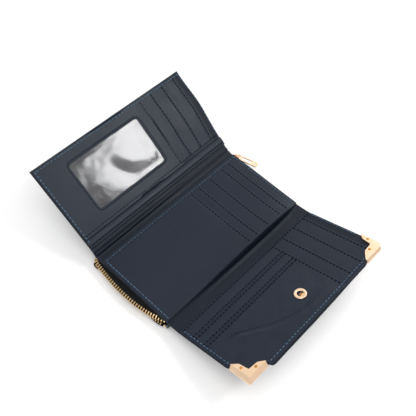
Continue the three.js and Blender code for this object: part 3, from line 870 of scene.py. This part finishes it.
def outer_leathers():
    """The three flat sections of the outer leather, with their linings."""
    left = LEFT_FOLD[0] + 5.0
    right = RIGHT_FOLD[0] - 5.0
    panel("centre_outer_leather", CENTRE, (left, right, -HALF, HALF), -OUTER, 0.0, NAVY,
          "centre_leather", cut=(True, True))
    panel("centre_lining_skin", CENTRE, (left, right, 0.4 - HALF, HALF - 0.4), 0.12, 0.7,
          LINING_WITH_PAINTED_SHADE, "centre_lining", cut=(True, True))
    flaps = [("left", LEFT, LEFT_WIDTH, left_slack), ("right", RIGHT, RIGHT_WIDTH, right_slack)]
    for name, side, width, wave in flaps:
        panel(f"{name}_outer_leather", side, (6.0, width, -HALF, HALF), -OUTER, 0.0, NAVY,
              f"{name}_leather", relief=wave, base=wave, cut=(True, False))
        panel(f"{name}_lining_skin", side, (6.0, width - 0.4, 0.4 - HALF, HALF - 0.4), 0.12,
              0.7, LINING_WITH_PAINTED_SHADE, f"{name}_lining", cut=(True, False), relief=wave)


outer_leathers()
fold_sheets("left_fold", "left", LEFT, LEFT_FOLD, LEFT_END, -1, left_bulge,
            ("left_spine_leather", "left_spine_lining"))
fold_sheets("right_fold", "right", RIGHT, RIGHT_FOLD, RIGHT_END, 1, right_bulge,
            ("right_spine_leather", "right_spine_lining"))
for hidden in ("centre_board", "left_board"):
    coat(hidden, LINING_WITH_PAINTED_SHADE)


# ------------------------------------------------------------------------- zip
ZIP_RIGHT = 46.6
ZIP_FAR = 101.2
ZIP_HEIGHT = 5.8
ZIP_GAP = 0.7
ROW_WIDTH = 2.8
TOOTH_PITCH = 2.9


def bezier(a, b, c, d, t):
    t = t[:, None]
    s = 1 - t
    return s ** 3 * a + 3 * s * s * t * b + 3 * s * t * t * c + t ** 3 * d


def rim(left, near, far, corner, bow):
    """
    Points round the pouch from the near right end to the far right end, with how many
    of the five stretches each has passed.
    """
    pull, bend = 0.55 * corner, left + corner
    p = lambda x, y: np.array([x, y], float)
    line = lambda a, b: (a, a + (b - a) / 3, a + (b - a) * 2 / 3, b)
    stretches = [
        (p(ZIP_RIGHT, near + bow), p(28, near - 1.2 * bow), p(-12, near - 1.25 * bow),
         p(bend, near)),
        (p(bend, near), p(bend - pull, near), p(left, near + corner - pull),
         p(left, near + corner)),
        line(p(left, near + corner), p(left, far - corner)),
        (p(left, far - corner), p(left, far - corner + pull), p(bend - pull, far),
         p(bend, far)),
        line(p(bend, far), p(ZIP_RIGHT, far)),
    ]
    t = np.linspace(0, 1, 60, endpoint=False)
    points = [bezier(*stretch, t) for stretch in stretches] + [p(ZIP_RIGHT, far)[None]]
    progress = [i + t for i in range(5)] + [np.array([5.0])]
    return np.vstack(points), np.concatenate(progress)


def row_frame(rim_sizes, closing, heights, tips):
    """Places, directions to the teeth's tips and tangents along one row, with progress."""
    flat_points, progress = rim(**rim_sizes)
    closed_share = smooth(progress, *closing)
    z = heights[0] + (heights[1] - heights[0]) * closed_share
    tangent = np.gradient(flat_points, axis=0)
    tangent /= np.linalg.norm(tangent, axis=1)[:, None]
    outward = np.stack([-tangent[:, 1], tangent[:, 0], 0 * z], 1)
    angle = np.radians(tips[0] + (tips[1] - tips[0]) * closed_share)
    to_tips = outward * np.cos(angle)[:, None]
    to_tips[:, 2] = -np.sin(angle)
    place = np.column_stack([flat_points, z])
    return {"place": place, "tips": to_tips, "along": np.column_stack([tangent, 0 * z]),
            "outward": outward, "progress": progress}


UPPER_ROW = row_frame({"left": -52.5, "near": -102.6, "far": ZIP_FAR - ZIP_GAP - ROW_WIDTH / 2,
                       "corner": 9.0, "bow": 5.2}, (3.4, 4.1), (9.6, ZIP_HEIGHT), (35.0, 0.0))
LOWER_ROW = row_frame({"left": -50.5, "near": -102.4, "far": ZIP_FAR + ZIP_GAP + ROW_WIDTH / 2,
                       "corner": 8.0, "bow": 2.0}, (3.2, 3.95), (4.7, ZIP_HEIGHT),
                      (-50.0, -180.0))


def tooth_shape():
    """One metal tooth along X: jaws that grip the tape's cord, a waist and a rounded nose."""
    side = [(-2.3, 0.5), (-1.9, 0.68), (-0.5, 0.72), (0.3, 0.55), (0.8, 0.5), (1.3, 0.6),
            (1.9, 0.55), (2.25, 0.25)]
    outline = side + [(x, -y) for x, y in reversed(side)]
    layers = [(-1.05, 0.82), (-0.75, 1.0), (0.75, 1.0), (1.05, 0.82)]
    count = len(outline)
    points = [(x * (0.5 + 0.5 * grow), y * grow, z) for z, grow in layers for x, y in outline]
    return np.array(points), tube(4, count) + ends(4, count, flip=True)


def teeth(name, row, offset, body, node_name):
    """A row of separate teeth set along its tape."""
    lengths = np.linalg.norm(np.diff(row["place"], axis=0), axis=1)
    travelled = np.concatenate([[0], np.cumsum(lengths)])
    shape, faces = tooth_shape()
    points, all_faces = [], []
    count = int((travelled[-1] - 1.5) / TOOTH_PITCH)
    for i in range(count):
        s = 1.0 + offset + i * TOOTH_PITCH
        pick = lambda key: np.array([np.interp(s, travelled, row[key][:, k]) for k in range(3)])
        place, tips, along = pick("place"), pick("tips"), pick("along")
        tips /= np.linalg.norm(tips)
        along -= tips * (along @ tips)
        along /= np.linalg.norm(along)
        up = np.cross(tips, along)
        points.append(place + shape @ np.stack([tips, along, up]))
        all_faces += [[k + len(shape) * i for k in f] for f in faces]
    make(name, np.concatenate(points), all_faces, body, TOOTH_GOLD, node_name, False)


def bump(x, middle, width):
    return np.exp(-((x - middle) / width) ** 2)


def tape(name, row, seam, seam_height, round_out, body, node_name):
    """
    The woven tape from the pouch's seam to its bead between the teeth's jaws. The lower
    tape bags out at both near corners.
    """
    roots, _ = rim(**seam)
    roots = np.column_stack([roots, np.full(len(roots), seam_height)])
    edges = row["place"] + row["tips"] * 1.5
    knees = (roots + edges) / 2
    knees[:, 2] += np.where(round_out > 0, -0.2, 0.5)
    if round_out > 0:
        bag = 5.5 * bump(row["progress"], 1.45, 0.45) + 3.0 * bump(row["progress"], 0.1, 0.22)
        knees = knees + row["outward"] * bag[:, None]
        out = row["place"] + row["outward"] * round_out
        out[:, 2] = (roots[:, 2] + edges[:, 2]) / 2
        share = smooth(row["progress"], 3.2, 3.95)[:, None]
        knees = knees + (out - knees) * share
    rings = []
    for i in range(0, len(roots), 3):
        t = np.linspace(0, 1, 7)[:, None]
        pull = 2 * knees[i] - (roots[i] + edges[i]) / 2
        curve = (1 - t) ** 2 * roots[i] + 2 * t * (1 - t) * pull + t * t * edges[i]
        slope = np.gradient(curve, axis=0)
        normal = np.cross(slope, row["along"][i])
        normal /= np.linalg.norm(normal, axis=1)[:, None]
        rings.append(np.vstack([curve + normal * 0.3, (curve - normal * 0.3)[::-1]]))
    count = len(rings[0])
    faces = tube(len(rings), count, flip=True) + ends(len(rings), count)
    make(name, np.concatenate(rings), faces, body, TAPE, node_name)


teeth("zip_upper_teeth", UPPER_ROW, 0.0, "centre", "zip_teeth_upper")
teeth("zip_lower_teeth", LOWER_ROW, 1.4, "pouch", "zip_teeth_lower")
tape("zip_upper_tape", UPPER_ROW, {"left": -47.5, "near": -98.3, "far": 98.3, "corner": 8.0,
                                   "bow": 0.6}, 12.65, 0, "centre", "zip_tape_upper")
tape("zip_lower_tape", LOWER_ROW, {"left": -47.2, "near": -98.2, "far": 98.2, "corner": 9.0,
                                   "bow": 0.6}, 2.5, 2.6, "pouch", "zip_tape_lower")


# ----------------------------------------------------------------- pouch itself
GROUND = Side("pouch", (0, 0, 0), 0.0, 1)


def build_pouch():
    low, high = (np.array(c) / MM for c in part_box("pouch_back_leather"))
    box = (low[0], high[0], low[1], high[1])
    belly = soft(50.0, 0.12, 81.0)
    panel("pouch_back_skin", GROUND, box, 0.0, high[2], NAVY,
          "pouch_back_leather", step=2.2, corner=10.0, relief=belly, base=flat)
    gusset_line = [(50.4, 1.0), (51.7, 3.0), (52.2, 7.0), (51.7, 11.0), (50.6, 13.0)]
    gusset = Bend(gusset_line, -1)
    wall = panel("pouch_gusset", gusset, (0, gusset.length, -HALF, HALF), -0.6, 0.6, NAVY,
                 "pouch_spine", step=1.5)
    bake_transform(wall)


build_pouch()


def draw_in_left_flap():
    """Gives each piece of the left flap's spread leather its own copy of its mesh."""
    for piece in bpy.context.scene.objects:
        if piece.name.startswith(("left_window", "left_film", "left_card_leaf", "left_stitches",
                                  "left_rim", "left_outer", "left_lining_skin")):
            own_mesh(piece)


draw_in_left_flap()


# --------------------------------------------------------------------- hardware
def polish(node_name, width):
    """A CAD node that keeps its shape: plated, with its edges rounded off."""
    piece = coat(node_name, GOLD)
    weld = piece.modifiers.new("weld", "WELD")
    weld.merge_threshold = 0.00001
    bevel = piece.modifiers.new("bevel", "BEVEL")
    bevel.width, bevel.segments = width, 2
    bevel.limit_method, bevel.angle_limit = "ANGLE", math.radians(30)
    bevel.use_clamp_overlap = True


for name, width in {"zip_slider": 0.0003, "zip_puller": 0.00035, "snap_stud": 0.0001,
                    "zip_top_stop_lower": 0.0003, "zip_top_stop_upper": 0.0003,
                    "zip_bottom_stop": 0.0003}.items():
    polish(name, width)


def turned(name, profile, side, middle, node_name, turns=48, base=0.0, surface=GOLD):
    """
    A shape turned about a section's own up direction, from (radius, height) points. It is
    a ring unless its profile starts on the axis.
    """
    points = []
    for radius, height in profile:
        for k in range(turns):
            turn = 2 * math.pi * k / turns
            points.append(side.at(middle[0] + radius * math.cos(turn),
                                  middle[1] + radius * math.sin(turn), base + height))
    solid = profile[0][0] < 0.02
    faces = tube(len(profile), turns, loop=not solid, flip=True)
    if solid:
        faces += ends(len(profile), turns)
    make(name, np.array(points), facing(side, faces), side.body, surface, node_name)


def build_socket():
    ring = [(3.35, 0.0), (6.0, 0.0), (6.3, 0.2), (6.35, 0.6), (6.2, 0.95), (5.8, 1.12),
            (5.1, 1.15), (3.9, 1.1), (3.6, 0.95), (3.4, 0.6)]
    turned("snap_socket_ring", ring, RIGHT, SOCKET, "snap_socket", base=2.0)
    floor = [(0.01, -0.1), (3.3, -0.1), (3.3, 0.12), (3.0, 0.16), (0.01, 0.16)]
    turned("snap_socket_floor", floor, RIGHT, SOCKET, "snap_socket", base=2.0)
    for name, half_u, half_v in (("along", 2.2, 0.6), ("across", 0.6, 1.6)):
        box = (SOCKET[0] - half_u, SOCKET[0] + half_u, SOCKET[1] - half_v, SOCKET[1] + half_v)
        panel(f"snap_spring_{name}", RIGHT, box, 2.05, 2.28, WORN_GOLD,
              "snap_socket", step=0.8, corner=0.3, edge=0.1)
    dome = [(0.01, -1.6), (1.8, -1.56), (3.4, -1.36), (4.9, -1.0), (5.9, -0.55), (6.35, -0.15),
            (6.3, 0.05), (0.01, 0.05)]
    turned("snap_dome", dome, RIGHT, SOCKET, "snap_outer_cap", base=-1.35)


# Each cap: the end of the flap it is on, its outer corner, how far its top face stands back
# from its outer sides, its rivets and its outline as (along, across) from the corner, and
# the outline's corner radii
CAPS = {
    "near": {"end": -1, "corner": (89.2, 99.9), "stand_back": 3.5,
             "rivets": [(15.8, 6.4), (6.4, 15.8)],
             "outline": [(0.0, 0.0), (25.0, 0.0), (25.9, 3.6), (20.2, 8.6), (9.8, 9.8),
                         (8.6, 20.2), (3.6, 25.9), (0.0, 25.0)],
             "radii": [0.7, 0.8, 0.6, 1.2, 1.0, 1.2, 0.6, 0.8]},
    "far": {"end": 1, "corner": (92.3, 104.9), "stand_back": 1.8,
            "rivets": [(16.8, 4.4), (7.6, 15.0)],
            "outline": [(5.2, 0.0), (26.0, 0.0), (26.4, 2.0), (21.6, 7.0), (10.8, 8.5),
                        (10.2, 19.2), (3.0, 28.6), (0.0, 28.0), (0.0, 5.2)],
            "radii": [0.8, 0.8, 0.6, 1.2, 1.0, 1.2, 0.6, 0.8, 0.8]},
}


def corner_cap(label, end, corner, stand_back, rivets, outline, radii):
    """
    A folded metal cap: a flat face, a broad slope along its two outer sides, thin edges
    along its inner ones, and two rivets.
    """
    base = round_polygon(outline, radii)
    slope = np.clip(1 - base / 3.2, 0, 1)
    inner = 1 - slope.max(1)
    levels = [(0.25, -2.5, -2.5), (0.05, -2.2, -2.2), (0.0, -1.7, -1.7), (0.0, -1.1, 1.8),
              (0.1, -0.6, 2.3), (0.94, 2.55, 2.6), (1.0, 2.75, 2.8), (1.12, 2.85, 2.9)]
    points = []
    for share, slope_height, inner_height in levels:
        pulled = base + slope * stand_back * share
        height = slope_height + (inner_height - slope_height) * inner
        points.append(RIGHT_FACE.at(corner[0] - pulled[:, 0], end * (corner[1] - pulled[:, 1]),
                                    height))
    faces = tube(len(levels), len(base), flip=True) + ends(len(levels), len(base))
    if end > 0:
        faces = [f[::-1] for f in faces]
    make(f"corner_cap_{label}_shell", np.concatenate(points), faces, "right_flap", GOLD,
         f"corner_cap_{label}", False)
    head = [(0.01, -0.1), (1.4, -0.1), (1.5, 0.1), (1.2, 0.3), (0.6, 0.4), (0.01, 0.42)]
    for i, (along, across) in enumerate(rivets):
        turned(f"cap_rivet_{label}_{i + 1}_head", head, RIGHT_FACE,
               (corner[0] - along, end * (corner[1] - across)), f"cap_rivet_{label}_{i + 1}",
               turns=20, base=2.85, surface=WORN_GOLD)


def round_polygon(points, radii):
    """Rounds each corner of a polygon with its own radius."""
    points = [np.array(p, float) for p in points]
    made = []
    for i, (point, radius) in enumerate(zip(points, radii)):
        before, after = points[i - 1], points[(i + 1) % len(points)]
        a = point + (before - point) / np.linalg.norm(before - point) * radius
        b = point + (after - point) / np.linalg.norm(after - point) * radius
        for t in (0, 0.25, 0.5, 0.75, 1):
            made.append((1 - t) ** 2 * a + 2 * t * (1 - t) * point + t * t * b)
    return np.array(made)


build_socket()
for label, cap in CAPS.items():
    corner_cap(label, **cap)


for cloth_node in ("pouch_back_lining", "pouch_ceiling_lining"):
    coat(cloth_node, POUCH_CLOTH)
for leather_node in ("centre_seam_left", "centre_seam_near", "centre_seam_far"):
    coat(leather_node, LINING_WITH_PAINTED_SHADE)


# ------------------------------------------------------ floor, lights and camera
def build_floor():
    surface, tree, shader, place = material("pale_floor", Roughness=0.55)
    mottle = pattern(tree, "Noise", place, Scale=6.0, Detail=3.0)
    colour = ramp(tree, mottle, [(0.3, grey(0.95)), (0.7, grey(0.97))])
    link(tree, colour, shader, "Base Color")
    corners = [(-4000, -4000, 0), (4000, -4000, 0), (4000, 4000, 0), (-4000, 4000, 0)]
    mesh = bpy.data.meshes.new("floor")
    mesh.from_pydata([tuple(MM * c for c in p) for p in corners], [], [(0, 1, 2, 3)])
    mesh.materials.append(surface)
    add("floor", mesh)


def area_light(name, direction, distance, size, watts):
    """A square softbox that looks at the wallet from a direction."""
    light = bpy.data.lights.new(name, "AREA")
    light.size, light.energy = size, watts
    made = add(name, light)
    towards = Vector(direction).normalized()
    made.location = Vector((0, 0, 0.02)) + towards * distance
    made.rotation_mode = "QUATERNION"
    made.rotation_quaternion = towards.to_track_quat("Z", "Y")


def build_light():
    world = bpy.data.worlds.new("studio")
    bpy.context.scene.world = world
    world.use_nodes = True
    background = world.node_tree.nodes["Background"]
    background.inputs["Color"].default_value = (1.0, 1.0, 1.0, 1.0)
    background.inputs["Strength"].default_value = 0.62
    area_light("key_softbox", (0.41, 0.47, 0.79), 1.28, 0.27, 3.2)
    area_light("front_softbox", (0.2, -0.35, 0.95), 1.5, 1.3, 12)
    area_light("back_softbox", (-0.1, 0.93, 0.5), 1.4, 1.0, 4.5)
    area_light("side_softbox", (-0.62, 0.5, 0.6), 1.4, 1.0, 1.2)


def build_camera():
    """A raised view from the near right, a little rolled."""
    azimuth, elevation, roll = (math.radians(a) for a in (36.0, 55.6, 8.4))
    target = np.array([-0.011, 0.024, 0.0177])
    right = np.array([math.cos(azimuth), math.sin(azimuth), 0.0])
    back = np.array([math.sin(azimuth) * math.cos(elevation),
                     -math.cos(azimuth) * math.cos(elevation), math.sin(elevation)])
    up = np.cross(back, right)
    turned_right = right * math.cos(roll) + up * math.sin(roll)
    turned_up = up * math.cos(roll) - right * math.sin(roll)
    data = bpy.data.cameras.new("camera")
    data.sensor_width, data.lens = 36.0, 58.3
    data.clip_start, data.clip_end = 0.05, 20.0
    camera = add("camera", data)
    axes = np.stack([turned_right, turned_up, back], 1)
    place = Matrix(axes.tolist()).to_4x4()
    place.translation = Vector(target + back * 0.72)
    camera.matrix_world = place
    bpy.context.scene.camera = camera


build_floor()
build_light()
build_camera()
bpy.context.scene.view_settings.view_transform = "Standard"
